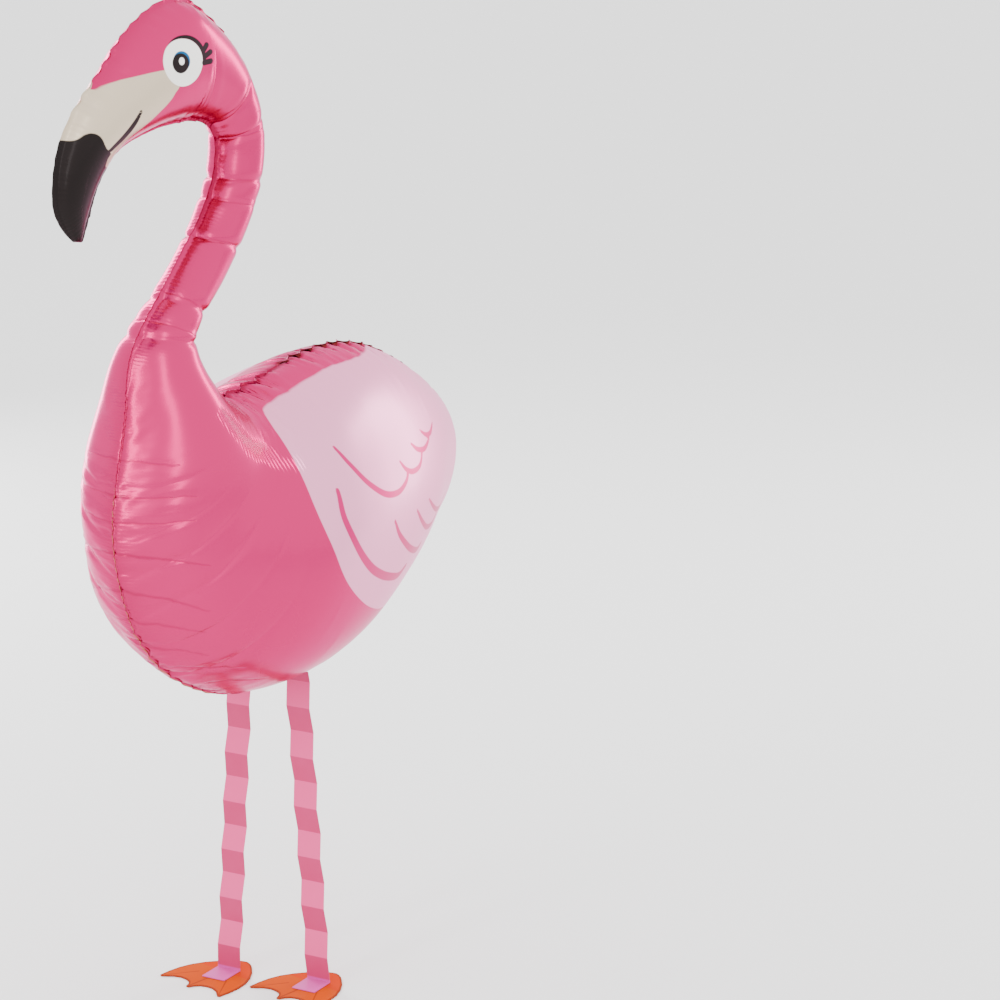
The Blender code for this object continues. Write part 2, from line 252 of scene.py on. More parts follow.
# The camera came from a separate script's fit of the body's outline and seam to the photo
CAMERA_PLACE = (-2.579, -1.911, 1.313)
CAMERA_TOWARD = (0.841, 0.541, 0.0)
CAMERA_DOWN = math.radians(14.29)


def colour_setting(label, description, colour):
    """A colour that the panel shows."""
    return FloatVectorProperty(
        name=label, description=description, subtype="COLOR", size=3, min=0.0, max=1.0, default=colour,
    )


class FilmSettings(bpy.types.PropertyGroup):
    """Sizes and colours of the film body"""

    pink: colour_setting("Film pink", "Colour of the metallised film", (0.52, 0.012, 0.118))
    # Painted shade: this deeper pink darkens the film beside the seam, along the crease bottoms and on the
    # sealed edge along the back
    seam_shade_pink: colour_setting(
        "Seam pink", "Colour of the flat sealed edge along the back", (0.27, 0.002, 0.040),
    )
    wing: colour_setting("Wing tint", "Light printed area on wings and tail", (0.80, 0.30, 0.49))
    feather: colour_setting(
        "Feather strokes", "Curled strokes printed on the wing", (0.52, 0.008, 0.130),
    )
    beak: colour_setting("Beak grey", "Printed grey of the beak", (0.56, 0.46, 0.34))
    # Painted shade in the folds of the sealed edge along the back
    fold_shade: colour_setting(
        "Seam fold", "Colour of the folds in the sealed edge along the back", (0.13, 0.010, 0.012),
    )
    cut_edge: colour_setting(
        "Cut edge", "Colour of the film's cut edge below the chest", (0.42, 0.14, 0.075),
    )
    tip: colour_setting("Print black", "Black of beak tip, pupil and lashes", (0.008, 0.007, 0.006))
    eye: colour_setting("Eye white", "White of the printed eye", (0.93, 0.93, 0.88))
    iris: colour_setting("Iris blue", "Thin blue crescent beside the pupil", (0.001, 0.10, 0.24))
    pucker: FloatProperty(
        name="Seam pucker", description="How far the sealed edge waves from side to side on the back",
        subtype="DISTANCE", unit="LENGTH", min=0.0, max=0.006, default=0.0026,
    )
    slack: FloatProperty(
        name="Film slack", description="How much longer the film is than the smooth body it is blown into",
        subtype="FACTOR", min=0.0, max=0.06, default=0.022,
    )


class LegSettings(bpy.types.PropertyGroup):
    """Colours of the strip legs, whose lighter and darker bands are painted light and shade on the faces of
    their folds
    """

    # Painted light and shade: the lighter and darker bands stand for the lit and shaded faces of the folded
    # strip
    light: colour_setting("Light band", "Lighter bands of the strip", (0.70, 0.058, 0.215))
    dark: colour_setting("Dark band", "Darker bands of the strip", (0.45, 0.022, 0.108))
    tab: colour_setting("Foot tab", "Flat end of the strip on the foot", (0.55, 0.055, 0.32))
    pitch: FloatProperty(
        name="Band length", description="Length of one band, from fold to fold", subtype="DISTANCE",
        unit="LENGTH", min=0.01, max=0.05, default=0.0264,
    )


class FootSettings(bpy.types.PropertyGroup):
    """Sizes and colours of the card feet"""

    orange: colour_setting("Card orange", "Colour of the webbed card", (0.46, 0.048, 0.0))
    line: colour_setting("Line red", "Colour of the outline and the toe lines", (0.26, 0.030, 0.006))
    outline: FloatProperty(
        name="Outline width", description="Width of the printed outline", subtype="DISTANCE",
        unit="LENGTH", min=0.0005, max=0.004, default=0.0019,
    )


class StageSettings(bpy.types.PropertyGroup):
    """Studio values"""

    floor: colour_setting("Floor", "Colour of the plain floor", (0.85, 0.85, 0.85))
    lens: FloatProperty(
        name="Lens", description="Focal length of the camera in mm", min=20.0, max=300.0, default=118.8,
    )


class Field:
    """A number that the material works out at each point. Arithmetic on it makes Math nodes."""

    def __init__(self, tree, socket):
        self.tree = tree
        self.socket = socket

    def math(self, operation, *others):
        node = self.tree.nodes.new("ShaderNodeMath")
        node.operation = operation
        for socket, value in zip(node.inputs, (self, *others)):
            if isinstance(value, Field):
                self.tree.links.new(value.socket, socket)
            else:
                socket.default_value = value
        return Field(self.tree, node.outputs[0])

    def __add__(self, other):
        return self.math("ADD", other)

    def __sub__(self, other):
        return self.math("SUBTRACT", other)

    def __mul__(self, other):
        return self.math("MULTIPLY", other)

    def __truediv__(self, other):
        return self.math("DIVIDE", other)

    def least(self, other):
        return self.math("MINIMUM", other)

    def most(self, other):
        return self.math("MAXIMUM", other)

    def length_with(self, other):
        return (self * self + other * other).math("SQRT")

    def inside(self, soft=0.35):
        """1 where this distance is below 0, with a narrow soft edge."""
        node = self.tree.nodes.new("ShaderNodeMapRange")
        node.inputs["From Min"].default_value = soft
        node.inputs["From Max"].default_value = -soft
        self.tree.links.new(self.socket, node.inputs["Value"])
        return Field(self.tree, node.outputs["Result"])


def ellipse(u, v, centre, radii):
    """Distance outside an ellipse, in its own units."""
    across = (u - centre[0]) / radii[0]
    down = (v - centre[1]) / radii[1]
    return (across.length_with(down) - 1.0) * min(radii)


def spike(u, v, start, end, half_width, tip_share):
    """Distance outside a straight stroke that narrows towards its end."""
    run = (end[0] - start[0], end[1] - start[1])
    length = math.hypot(*run)
    du = u - start[0]
    dv = v - start[1]
    along = (du * (run[0] / length**2) + dv * (run[1] / length**2)).most(0.0).least(1.0)
    off = (du - along * run[0]).length_with(dv - along * run[1])
    return off - half_width + along * (half_width * (1.0 - tip_share))


def new_material(name):
    """A node material with its shader and output only."""
    material = bpy.data.materials.new(name)
    material.use_nodes = True
    tree = material.node_tree
    return material, tree, tree.nodes["Principled BSDF"]


def attribute_field(tree, name):
    """A point attribute of the mesh as a field."""
    node = tree.nodes.new("ShaderNodeAttribute")
    node.attribute_name = name
    return Field(tree, node.outputs["Fac"])


def map_fields(tree, name, scale):
    """The two coordinates of a flat map as fields, multiplied by a scale."""
    node = tree.nodes.new("ShaderNodeUVMap")
    node.uv_map = name
    split = tree.nodes.new("ShaderNodeSeparateXYZ")
    tree.links.new(node.outputs["UV"], split.inputs[0])
    return Field(tree, split.outputs["X"]) * scale, Field(tree, split.outputs["Y"]) * scale


def object_fields(tree):
    """Object coordinates as three fields."""
    node = tree.nodes.new("ShaderNodeTexCoord")
    split = tree.nodes.new("ShaderNodeSeparateXYZ")
    tree.links.new(node.outputs["Object"], split.inputs[0])
    return [Field(tree, split.outputs[axis]) for axis in "XYZ"]


def colour_mix(tree, share, first, second):
    """A colour socket that goes from first to second with a field."""
    node = tree.nodes.new("ShaderNodeMix")
    node.data_type = "RGBA"
    tree.links.new(share.socket, node.inputs["Factor"])
    for socket, value in ((node.inputs[6], first), (node.inputs[7], second)):
        if isinstance(value, bpy.types.NodeSocket):
            tree.links.new(value, socket)
        else:
            socket.default_value = (*value, 1.0)
    return node.outputs[2]


def noise_field(tree, scale, detail, roughness=0.5):
    """A noise value around 0.5, laid out in object coordinates."""
    coordinates = tree.nodes.new("ShaderNodeTexCoord")
    node = tree.nodes.new("ShaderNodeTexNoise")
    node.inputs["Scale"].default_value = scale
    node.inputs["Detail"].default_value = detail
    node.inputs["Roughness"].default_value = roughness
    tree.links.new(coordinates.outputs["Object"], node.inputs["Vector"])
    return Field(tree, node.outputs["Fac"])


def add_bump(tree, shader, height, strength, distance):
    """Feeds a height field to the shader's normal."""
    node = tree.nodes.new("ShaderNodeBump")
    node.inputs["Strength"].default_value = strength
    node.inputs["Distance"].default_value = distance
    tree.links.new(height.socket, node.inputs["Height"])
    tree.links.new(node.outputs["Normal"], shader.inputs["Normal"])


def only(piece):
    """Makes one object the selected and active one."""
    bpy.ops.object.select_all(action="DESELECT")
    piece.select_set(True)
    bpy.context.view_layer.objects.active = piece


def copy_node(node, name):
    """A new piece from a solid's mesh, with its loose triangles merged."""
    piece = bpy.data.objects.new(name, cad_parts[node].data.copy())
    piece.data.name = name
    piece.data.materials.clear()
    bpy.context.scene.collection.objects.link(piece)
    only(piece)
    bpy.ops.object.mode_set(mode="EDIT")
    bpy.ops.mesh.select_all(action="SELECT")
    bpy.ops.mesh.remove_doubles(threshold=0.00001)
    bpy.ops.object.mode_set(mode="OBJECT")
    return piece


def finish_piece(piece, node):
    """Declares what a piece rides on and replaces."""
    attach(piece, BODY)
    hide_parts(node)


def points_of(mesh):
    """Vertex places as rows."""
    flat = np.empty(len(mesh.vertices) * 3, np.float32)
    mesh.vertices.foreach_get("co", flat)
    return flat.reshape(-1, 3).astype(float)


def normals_of(mesh):
    """Vertex normals as rows."""
    flat = np.empty(len(mesh.vertices) * 3, np.float32)
    mesh.vertices.foreach_get("normal", flat)
    return flat.reshape(-1, 3).astype(float)


def edges_of(mesh):
    """Vertex numbers of each edge as rows."""
    flat = np.empty(len(mesh.edges) * 2, np.int32)
    mesh.edges.foreach_get("vertices", flat)
    return flat.reshape(-1, 2)


def put_points(mesh, points):
    """Writes vertex places."""
    mesh.vertices.foreach_set("co", points.astype(np.float32).ravel())
    mesh.update()


def put_attribute(mesh, name, values):
    """Writes one number per vertex."""
    attribute = mesh.attributes.get(name) or mesh.attributes.new(name, "FLOAT", "POINT")
    attribute.data.foreach_set("value", values.astype(np.float32))


def put_map(mesh, name, values):
    """Writes a flat map from two numbers per vertex."""
    layer = mesh.uv_layers.get(name) or mesh.uv_layers.new(name=name)
    corners = np.empty(len(mesh.loops), np.int32)
    mesh.loops.foreach_get("vertex_index", corners)
    layer.uv.foreach_set("vector", values[corners].astype(np.float32).ravel())


def smooth_step(value):
    """Eases 0 to 1 with level ends."""
    value = np.clip(value, 0.0, 1.0)
    return value * value * (3 - 2 * value)


def print_places(points):
    """Across and down in print units for points on the body, with the head's turn taken out."""
    high = smooth_step((points[:, 2] - HEAD_TURN_FROM_Z) / (HEAD_TURN_FULL_Z - HEAD_TURN_FROM_Z))
    high = np.where((points[:, 0] < -0.17) & (points[:, 2] > 0.77), 1.0, high)
    angle = HEAD_TURN * high
    x = points[:, 0] - HEAD_AXIS_X
    back = HEAD_AXIS_X + x * np.cos(angle) - points[:, 1] * np.sin(angle)
    return np.stack(
        [PRINT_ACROSS_AT_ORIGIN + back / PRINT_UNIT, PRINT_DOWN_AT_FLOOR - points[:, 2] / PRINT_UNIT], axis=1
    )


def curve_through(points, steps=8):
    """More points on a smooth curve through the given ones."""
    points = np.asarray(points, float)
    ends = np.vstack([2 * points[0] - points[1], points, 2 * points[-1] - points[-2]])
    made = []
    for i in range(len(points) - 1):
        a, b, c, d = ends[i : i + 4]
        for t in np.linspace(0, 1, steps, endpoint=False):
            square = (2 * a - 5 * b + 4 * c - d) * t**2
            cube = (3 * b - a - 3 * c + d) * t**3
            made.append(0.5 * (2 * b + (c - a) * t + square + cube))
    made.append(points[-1])
    return np.array(made)


def distance_to_line(places, line, half_widths=None):
    """Distance from places to a chain of points, less the chain's half width there."""
    best = np.full(len(places), 1e9)
    for i in range(len(line) - 1):
        run = line[i + 1] - line[i]
        share = np.clip((places - line[i]) @ run / (run @ run), 0, 1)
        gap = np.linalg.norm(places - line[i] - share[:, None] * run, axis=1)
        if half_widths is not None:
            gap = gap - half_widths[i] - share * (half_widths[i + 1] - half_widths[i])
        best = np.minimum(best, gap)
    return best


def signed_distance(places, outline):
    """Distance to a closed outline, below 0 inside."""
    outline = np.asarray(outline, float)
    closed = np.vstack([outline, outline[:1]])
    gap = distance_to_line(places, closed)
    crossings = np.zeros(len(places), int)
    for first, second in zip(closed[:-1], closed[1:]):
        spans = (first[1] > places[:, 1]) != (second[1] > places[:, 1])
        rise = second[1] - first[1] if second[1] != first[1] else 1e-9
        at = first[0] + (places[:, 1] - first[1]) / rise * (second[0] - first[0])
        crossings += spans & (places[:, 0] < at)
    return np.where(crossings % 2 == 1, -gap, gap)


def taper(count, half_width):
    """Half widths along a stroke, narrow at both ends."""
    share = np.linspace(0, 1, count)
    return half_width * (0.35 + 0.65 * np.sqrt(np.sin(math.pi * np.clip(share, 0.02, 0.98))))


def seam_lines(mesh):
    """The middle lines of the flat sealed edge, each a chain of points round part of the profile."""
    points = points_of(mesh)
    edges = edges_of(mesh)
    run = points[edges[:, 1]] - points[edges[:, 0]]
    length = np.linalg.norm(run, axis=1)
    rungs = edges[(length < 1.3 * SEAM_THICKNESS) & (np.abs(run[:, 1]) > 0.8 * length)]
    rung_of = {}
    for number, (a, b) in enumerate(rungs):
        rung_of[int(a)] = number
        rung_of[int(b)] = number
    links = {number: set() for number in range(len(rungs))}
    for a, b in edges:
        first = rung_of.get(int(a))
        second = rung_of.get(int(b))
        if first is not None and second is not None and first != second:
            links[first].add(second)
            links[second].add(first)
    middles = points[rungs].mean(axis=1)
    lines = []
    left = set(links)
    for start in sorted(links, key=lambda number: len(links[number])):
        if start not in left:
            continue
        chain = [start]
        left.discard(start)
        while True:
            onward = [number for number in links[chain[-1]] if number in left]
            if not onward:
                break
            chain.append(onward[0])
            left.discard(onward[0])
        if len(chain) > 5:
            lines.append(middles[chain])
    return lines


def resampled(line, step):
    """Points at an even step along a chain, and their running lengths."""
    run = np.concatenate([[0.0], np.cumsum(np.linalg.norm(np.diff(line, axis=0), axis=1))])
    at = np.arange(0.0, run[-1], step)
    return np.stack([np.interp(at, run, line[:, axis]) for axis in range(3)], axis=1), at


def pucker_plan(points):
    """Wave length and relative height of the seam's puckers at places along it."""
    x, z = points[:, 0], points[:, 2]
    back = smooth_step((x + 0.13) / 0.03) * (z > 0.50) * (z < BACK_TOP_Z)
    tail = smooth_step((x - 0.20) / 0.05)
    chest = ((x < -0.10) & (z < CHEST_TOP_Z) & (z > BELLY_TOP_Z)).astype(float)
    belly = (z < BELLY_TOP_Z) * smooth_step((0.12 - x) / 0.06)
    crown = ((z > CROWN_FROM_Z) & (x > -0.30)).astype(float)
    wave = np.full(len(points), PLAIN_WAVE[0])
    height = np.full(len(points), PLAIN_WAVE[1])
    for share, (length, rise) in (
        (back, BACK_WAVE), (crown, CROWN_WAVE), (chest, CHEST_WAVE), (belly, BELLY_WAVE), (tail, TAIL_WAVE),
    ):
        wave = wave * (1 - share) + length * share
        height = height * (1 - share) + rise * share
    return wave, height


def uneven(at, step, least, most, random):
    """Numbers between two bounds that drift along a line."""
    knots = np.arange(0, at[-1] + 0.05, step)
    return np.interp(at, knots, random.uniform(least, most, len(knots)))


def seam_fields(mesh, lines, random):
    """For each vertex: distance to the seam, then wave phase, wave height and side."""
    sampled = []
    for line in lines:
        places, at = resampled(line, 0.001)
        wave, height = pucker_plan(places)
        drift = uneven(at, 0.02, 0.75, 1.3, random)
        rise = uneven(at, 0.03, 0.6, 1.25, random)
        phase = 2 * math.pi * np.cumsum(0.001 / (wave * drift))
        ends = smooth_step(np.minimum(at, at[-1] - at) / 0.02)
        sampled.append(np.column_stack([places, phase, height * rise * ends]))
    table = np.vstack(sampled)
    tree = KDTree(len(table))
    for number, row in enumerate(table):
        tree.insert(row[:3], number)
    tree.balance()
    points = points_of(mesh)
    found = [tree.find(point)[1:] for point in points]
    nearest = np.array([pair[0] for pair in found])
    distance = np.array([pair[1] for pair in found])
    rows = table[nearest]
    side = np.sign(points[:, 1] - rows[:, 1])
    return distance, rows[:, 3], rows[:, 4], side


def triangle_wave(phase):
    """A zigzag from -1 to 1."""
    return 2 / math.pi * np.arcsin(np.sin(phase))


def pucker(mesh, fields, size):
    """Waves the sealed edge from side to side and raises the film into ridges beside it."""
    distance, phase, height, side = fields
    points = points_of(mesh)
    normals = normals_of(mesh)
    body = smooth_step((0.70 - points[:, 2]) / 0.06)
    sway = size * height * triangle_wave(phase) * np.exp(-distance / (0.004 + 0.005 * body))
    beyond = np.clip(distance - 0.5 * SEAM_WIDTH, 0, None)
    near = 0.004 + 0.004 * body
    swell = beyond / near * np.exp(1 - beyond / near)
    long_swell = np.exp(-beyond / 0.022) * body
    ridge = size * height * (0.55 * swell + 0.25 * long_swell) * np.cos(phase + side * 0.6) * (side != 0)
    points[:, 1] += sway
    points += normals * ridge[:, None]
    put_points(mesh, points)


def crease(mesh, creases, distance, random):
    """Cuts sharp grooves into the film along straight lines, shallow at the stiff sealed edge."""
    points = points_of(mesh)
    normals = normals_of(mesh)
    places = print_places(points)
    wander = 1.2 * np.sin(points[:, 1] * 95.0) + 0.8 * np.sin(points[:, 1] * 210.0 + 1.0)
    total = np.zeros(len(points))
    for across, down, to_across, to_down, depth, width in creases:
        start = np.array((across, down), float)
        run = np.array((to_across - across, to_down - down), float)
        length = np.linalg.norm(run)
        run /= length
        along = (places - start) @ run
        off = (places - start) @ np.array((-run[1], run[0])) + wander * random.uniform(0.4, 1.2)
        hold = smooth_step((length - along) / (0.35 * length) + 0.3) * smooth_step((along + 6.0) / 4.0)
        reach = np.abs(off) * PRINT_UNIT * 1000 / width
        total += depth / 1000 * hold * (np.exp(-reach) - 0.30 * np.exp(-(((reach - 2.4) / 1.3) ** 2)))
    total *= 0.25 + 0.75 * smooth_step((distance - 0.5 * SEAM_WIDTH) / 0.012)
    put_points(mesh, points - normals * total[:, None])


def settle(mesh):
    """Swells the head and beak, leans the neck's root forward and turns the tail's tips to the far side."""
    points = points_of(mesh)
    places = print_places(points)
    head = points[:, 2] > HEAD_SWELL_ABOVE_Z
    line = np.array([row[:2] for row in HEAD_LINE], float)
    best = np.full(len(points), 1e9)
    push = np.zeros((len(points), 2))
    for i in range(len(line) - 1):
        run = line[i + 1] - line[i]
        share = np.clip((places - line[i]) @ run / (run @ run), 0, 1)
        off = places - line[i] - share[:, None] * run
        gap = np.linalg.norm(off, axis=1)
        half = HEAD_LINE[i][2] + share * (HEAD_LINE[i + 1][2] - HEAD_LINE[i][2])
        swell = HEAD_LINE[i][3] + share * (HEAD_LINE[i + 1][3] - HEAD_LINE[i][3])
        nearer = head & (gap < best)
        best[nearer] = gap[nearer]
        push[nearer] = (off * (swell / half)[:, None])[nearer]
    points[:, 0] += push[:, 0] * math.cos(HEAD_TURN) / 1000
    points[:, 1] -= push[:, 0] * math.sin(HEAD_TURN) / 1000
    points[:, 2] -= push[:, 1] / 1000
    neck = np.exp(-(((points[:, 2] - NECK_ROOT_Z) / NECK_ROOT_REACH) ** 2)) * (points[:, 0] < -0.06)
    points[:, 0] -= NECK_LEAN * neck
    points[:, 1] += 0.4 * NECK_LEAN * neck
    points[:, 1] += TAIL_SWING * smooth_step((points[:, 0] - TAIL_SWING_FROM_X) / TAIL_SWING_OVER)
    put_points(mesh, points)


def smoothed(values, edges, rounds):
    """Values averaged with their neighbours many times."""
    count = len(values)
    first, second = edges[:, 0], edges[:, 1]
    shares = np.bincount(first, minlength=count) + np.bincount(second, minlength=count)
    for _ in range(rounds):
        total = np.empty_like(values)
        for axis in range(values.shape[1]):
            column = values[:, axis]
            total[:, axis] = np.bincount(first, column[second], count)
            total[:, axis] += np.bincount(second, column[first], count)
        values = 0.5 * values + 0.5 * total / shares[:, None]
    return values


def inflate(film, distance, slack):
    """Blows the film up as slightly long cloth, its sealed edge held, and keeps only the wrinkles."""
    mesh = film.data
    before = points_of(mesh)
    hold = film.vertex_groups.new(name="held")
    for number in np.nonzero(distance < 0.4 * SEAM_WIDTH)[0]:
        hold.add([int(number)], 1.0, "REPLACE")
    ease = film.vertex_groups.new(name="slack")
    neck = smooth_step((before[:, 2] - 0.64) / 0.10)
    share = 1.0 - 0.75 * neck
    for level in range(11):
        numbers = np.nonzero(np.round(share * 10).astype(int) == level)[0]
        if len(numbers):
            ease.add([int(number) for number in numbers], level / 10, "REPLACE")
    cloth = film.modifiers.new("inflate", "CLOTH")
    settings = cloth.settings
    settings.quality = 3
    settings.mass = 0.01
    settings.tension_stiffness = 15
    settings.compression_stiffness = 15
    settings.shear_stiffness = 5
    settings.bending_model = "LINEAR"
    settings.bending_stiffness = 0.05
    settings.use_pressure = True
    settings.uniform_pressure_force = 4.0
    settings.shrink_min = 0.0
    settings.shrink_max = -slack
    settings.vertex_group_shrink = ease.name
    settings.vertex_group_mass = hold.name
    settings.effector_weights.gravity = 0.0
    cloth.collision_settings.use_collision = False
    cloth.collision_settings.use_self_collision = False
    for number in range(1, CLOTH_FRAMES + 1):
        bpy.context.scene.frame_set(number)
    only(film)
    bpy.ops.object.modifier_apply(modifier=cloth.name)
    bpy.context.scene.frame_set(1)
    moved = points_of(mesh) - before
    broad = smoothed(moved, edges_of(mesh), SMOOTHING_ROUNDS)
    beside_seam = np.exp(-((distance / WRINKLE_REACH) ** 2))
    keep = (WRINKLE_KEPT + (1.0 - WRINKLE_KEPT) * beside_seam) * (1.0 - 0.5 * neck)
    put_points(mesh, before + (moved - broad) * keep[:, None])
    film.vertex_groups.clear()


def subdivide(piece, levels):
    """Smooth subdivisions of the whole piece."""
    only(piece)
    finer = piece.modifiers.new("finer", "SUBSURF")
    finer.levels = levels
    finer.render_levels = levels
    bpy.ops.object.modifier_apply(modifier=finer.name)


def feather_distance(places, feathers):
    """Distance outside the nearest feather stroke, in print units."""
    best = np.full(len(places), 1e3)
    near = (np.abs(places[:, 0] - 735) < 130) & (np.abs(places[:, 1] - 500) < 90)
    for line, (half, _) in zip(feathers, FEATHERS):
        best[near] = np.minimum(best[near], distance_to_line(places[near], line, taper(len(line), half)))
    return best


def places_on_print(mesh):
    """Across and down on the print for each vertex, read back from the print map."""
    corners = np.empty(len(mesh.loops), np.int32)
    mesh.loops.foreach_get("vertex_index", corners)
    flat = np.empty(len(mesh.loops) * 2, np.float32)
    mesh.uv_layers["print"].uv.foreach_get("vector", flat)
    places = np.zeros((len(mesh.vertices), 2))
    places[corners] = flat.reshape(-1, 2) * 1000.0
    return places


def draw_print(mesh, feathers):
    """Writes how far each vertex is from the edges of the printed areas."""
    places = places_on_print(mesh)
    put_attribute(mesh, "wing_edge", signed_distance(places, curve_through(WING_OUTLINE, 4)))
    put_attribute(mesh, "feather_edge", feather_distance(places, feathers))
    put_attribute(mesh, "beak_edge", signed_distance(places, BEAK_OUTLINE))
    put_attribute(mesh, "tip_edge", signed_distance(places, BEAK_TIP_OUTLINE))
    smile = curve_through(SMILE)
    put_attribute(mesh, "smile_edge", distance_to_line(places, smile, taper(len(smile), SMILE_HALF_WIDTH)))
    gap = np.empty(len(mesh.vertices), np.float32)
    mesh.attributes["seam_gap"].data.foreach_get("value", gap)
    # Painted shade: the flat sealed edge along the back is darkened to the deeper seam pink
    on_back = (places[:, 1] < 498) & (places[:, 0] > 608)
    put_attribute(mesh, "red_edge", np.where(on_back, smooth_step((0.0068 - gap) / 0.0015), 0.0))
    # Where the painted shade in the sealed edge's folds begins, across the back
    put_attribute(mesh, "fold_back", smooth_step((places[:, 0] - 690) / 20))
    put_attribute(mesh, "cut_front", smooth_step((places[:, 1] - 440) / 30) * (places[:, 0] < 620) * 0.8)
    put_attribute(mesh, "hatch", smooth_step(-signed_distance(places, HATCH_OUTLINE) / 3.0 + 0.5))


def refine_near(film, feathers):
    """Divides the faces around the feather strokes, so that the print has clean edges."""
    mesh = film.data
    gap = feather_distance(places_on_print(mesh), feathers)
    only(film)
    bpy.ops.object.mode_set(mode="EDIT")
    bpy.ops.mesh.select_mode(type="FACE")
    bpy.ops.mesh.select_all(action="DESELECT")
    bpy.ops.object.mode_set(mode="OBJECT")
    for face in mesh.polygons:
        face.select = bool(gap[list(face.vertices)].min() < FEATHER_REACH)
    bpy.ops.object.mode_set(mode="EDIT")
    bpy.ops.mesh.subdivide(number_cuts=FEATHER_CUTS, smoothness=1.0)
    bpy.ops.object.mode_set(mode="OBJECT")
    count = sum(len(face.vertices) - 2 for face in mesh.polygons)
    if count > MOST_TRIANGLES:
        raise RuntimeError(f"the film has {count} triangles")


def crease_lines(u, v):
    """1 along the bottoms of the creases of chest and neck, laid out on the print map, where the material
    paints shade into the creases.
    """
    nearest = None
    for across, down, to_across, to_down, depth, _ in CHEST_CREASES + NECK_CREASES:
        line = spike(u, v, (across, down), (to_across, to_down), 0.35 * depth, 0.1)
        nearest = line if nearest is None else nearest.least(line)
    return nearest.inside(0.8)


def eye_parts(u, v):
    """Distance outside the white, the lashes, the iris, the pupil and the glint of the printed eye."""
    du = u - EYE_CENTRE[0]
    dv = v - EYE_CENTRE[1]
    ex = du * EYE_ACROSS[0] + dv * EYE_ACROSS[1]
    ey = du * EYE_DOWN[0] + dv * EYE_DOWN[1]
    white = ellipse(ex, ey, *EYE_WHITE)
    lash = ellipse(ex, ey, *LASH_RIM).most(white * -1.0).most(ey - LASH_RIM_DOWN_TO)
    for root, tip, half_width in LASHES:
        lash = lash.least(spike(ex, ey, root, tip, half_width, 1.0))
    return white, lash, ellipse(ex, ey, *IRIS), ellipse(ex, ey, *PUPIL), ellipse(ex, ey, *GLINT)


def film_material(settings):
    """Metallised film with its printed beak, eye, wing and feathers."""
    material, tree, shader = new_material("pink_metallised_film")
    u, v = map_fields(tree, "print", 1000.0)
    wing = attribute_field(tree, "wing_edge").inside()
    feather = attribute_field(tree, "feather_edge").inside()
    beak = attribute_field(tree, "beak_edge").inside()
    tip = attribute_field(tree, "tip_edge").inside()
    smile = attribute_field(tree, "smile_edge").inside()
    seam = attribute_field(tree, "seam_gap")
    red_edge = attribute_field(tree, "red_edge")

    white, lash, iris, pupil, glint = eye_parts(u, v)
    phase, off = map_fields(tree, "seam", 1.0)
    # Painted shade: the film darkens to a deeper pink close beside the seam
    shade_beside_seam = (off / -0.016).math("EXPONENT")
    colour = colour_mix(tree, shade_beside_seam * 0.40, settings.pink, settings.seam_shade_pink)
    patchy = noise_field(tree, 60.0, 1.0)
    folds = crease_lines(u, v + patchy * 3.0 - 1.5)
    # Painted shade darkens the bottoms of the creases
    colour = colour_mix(tree, folds * 0.55, colour, settings.seam_shade_pink)
    colour = colour_mix(tree, wing, colour, settings.wing)
    colour = colour_mix(tree, feather * wing, colour, settings.feather)
    colour = colour_mix(tree, beak, colour, settings.beak)
    colour = colour_mix(tree, tip.most(smile), colour, settings.tip)
    colour = colour_mix(tree, white.inside(), colour, settings.eye)
    colour = colour_mix(tree, iris.inside(), colour, settings.iris)
    colour = colour_mix(tree, pupil.inside().most(lash.inside()), colour, settings.tip)
    colour = colour_mix(tree, glint.inside(), colour, settings.eye)
    # Painted shade on the sealed edge along the back
    colour = colour_mix(tree, red_edge, colour, settings.seam_shade_pink)
    # Painted shade: darker notches in the folds of the sealed edge along the back
    notch = (phase / math.pi).math("PINGPONG", 1.0)
    fold_shade = (off - notch * 0.0062 - 0.0004).inside(0.0005)
    colour = colour_mix(tree, fold_shade * red_edge * attribute_field(tree, "fold_back"), colour, settings.fold_shade)
    rim = (off - 0.0010).inside(0.0003) * attribute_field(tree, "cut_front")
    colour = colour_mix(tree, rim, colour, settings.cut_edge)
    tree.links.new(colour, shader.inputs["Base Color"])

    ink = wing.most(beak).most(tip).most(smile).most(white.inside()).most(lash.inside())
    tree.links.new((ink * -0.30 + 1.0).socket, shader.inputs["Metallic"])
    shader.inputs["Specular IOR Level"].default_value = 0.2
    shader.inputs["Specular Tint"].default_value = (1.0, 0.55, 0.75, 1.0)
    mottle = noise_field(tree, 9.0, 3.0)
    tree.links.new((ink * 0.08 + mottle * 0.06 + 0.235).socket, shader.inputs["Roughness"])
    shader.inputs["Coat Weight"].default_value = 0.10
    shader.inputs["Coat Roughness"].default_value = 0.12

    fade = (off / -0.012).math("EXPONENT")
    ripple = (phase * 3.0).math("SINE") * patchy * fade
    hatch = (u * 2.1 + patchy * 3.0).math("SINE") * attribute_field(tree, "hatch")
    fine = noise_field(tree, 45.0, 3.0, 0.55)
    add_bump(tree, shader, ripple * 0.4 + hatch * 0.8 + fine * 0.06 - folds * 0.9, 0.35, 0.0015)
    return material


